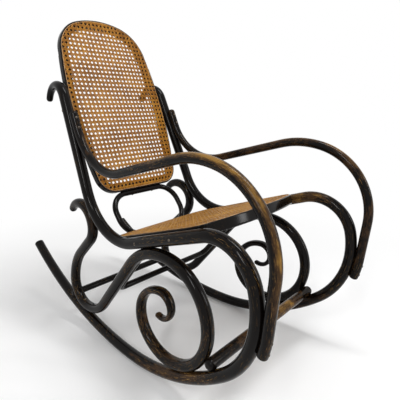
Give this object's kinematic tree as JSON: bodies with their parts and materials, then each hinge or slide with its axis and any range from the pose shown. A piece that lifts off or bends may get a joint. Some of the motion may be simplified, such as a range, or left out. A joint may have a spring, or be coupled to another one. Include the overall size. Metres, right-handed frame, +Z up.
{
  "type": "bentwood rocking chair",
  "caption": "Rocking chair of dark bent wooden rods with scrolled side frames on curved runners, open arms, and a caned seat and caned reclined back.",
  "frame": {"origin": "on the floor, under the middle of the chair's overall box", "axes": "+Z up, the chair faces -Y, +X is the sitter's left"},
  "size_m": [0.5418, 1.1511, 1.0581],
  "materials": {
    "ebonised_wood": "dark polished stain",
    "seat_caning": "woven cane",
    "back_caning": "woven cane",
    "reed_spline": "bare reed",
    "screw_steel": "darkened steel"
  },
  "bodies": {
    "root": {"left_runner": "ebonised_wood", "right_runner": "ebonised_wood", "left_rail_and_post": "ebonised_wood", "right_rail_and_post": "ebonised_wood", "left_scroll": "ebonised_wood", "right_scroll": "ebonised_wood", "left_arm": "ebonised_wood", "right_arm": "ebonised_wood", "seat_frame": "ebonised_wood", "back_frame": "ebonised_wood", "back_ring": "ebonised_wood", "front_stretcher": "ebonised_wood", "rear_stretcher": "ebonised_wood", "seat_brace": "ebonised_wood", "seat_cane": "seat_caning", "back_cane": "back_caning", "seat_spline": "reed_spline", "back_spline": "reed_spline", "arm_front_screws": "screw_steel", "arm_rear_screws": "screw_steel", "scroll_runner_screws": "screw_steel", "scroll_rail_screws": "screw_steel", "scroll_post_screws": "screw_steel", "scarf_screws": "screw_steel", "seat_screws": "screw_steel", "back_screws": "screw_steel", "ring_screws": "screw_steel", "stretcher_screws": "screw_steel", "brace_screws": "screw_steel"}
  },
  "joints": []
}
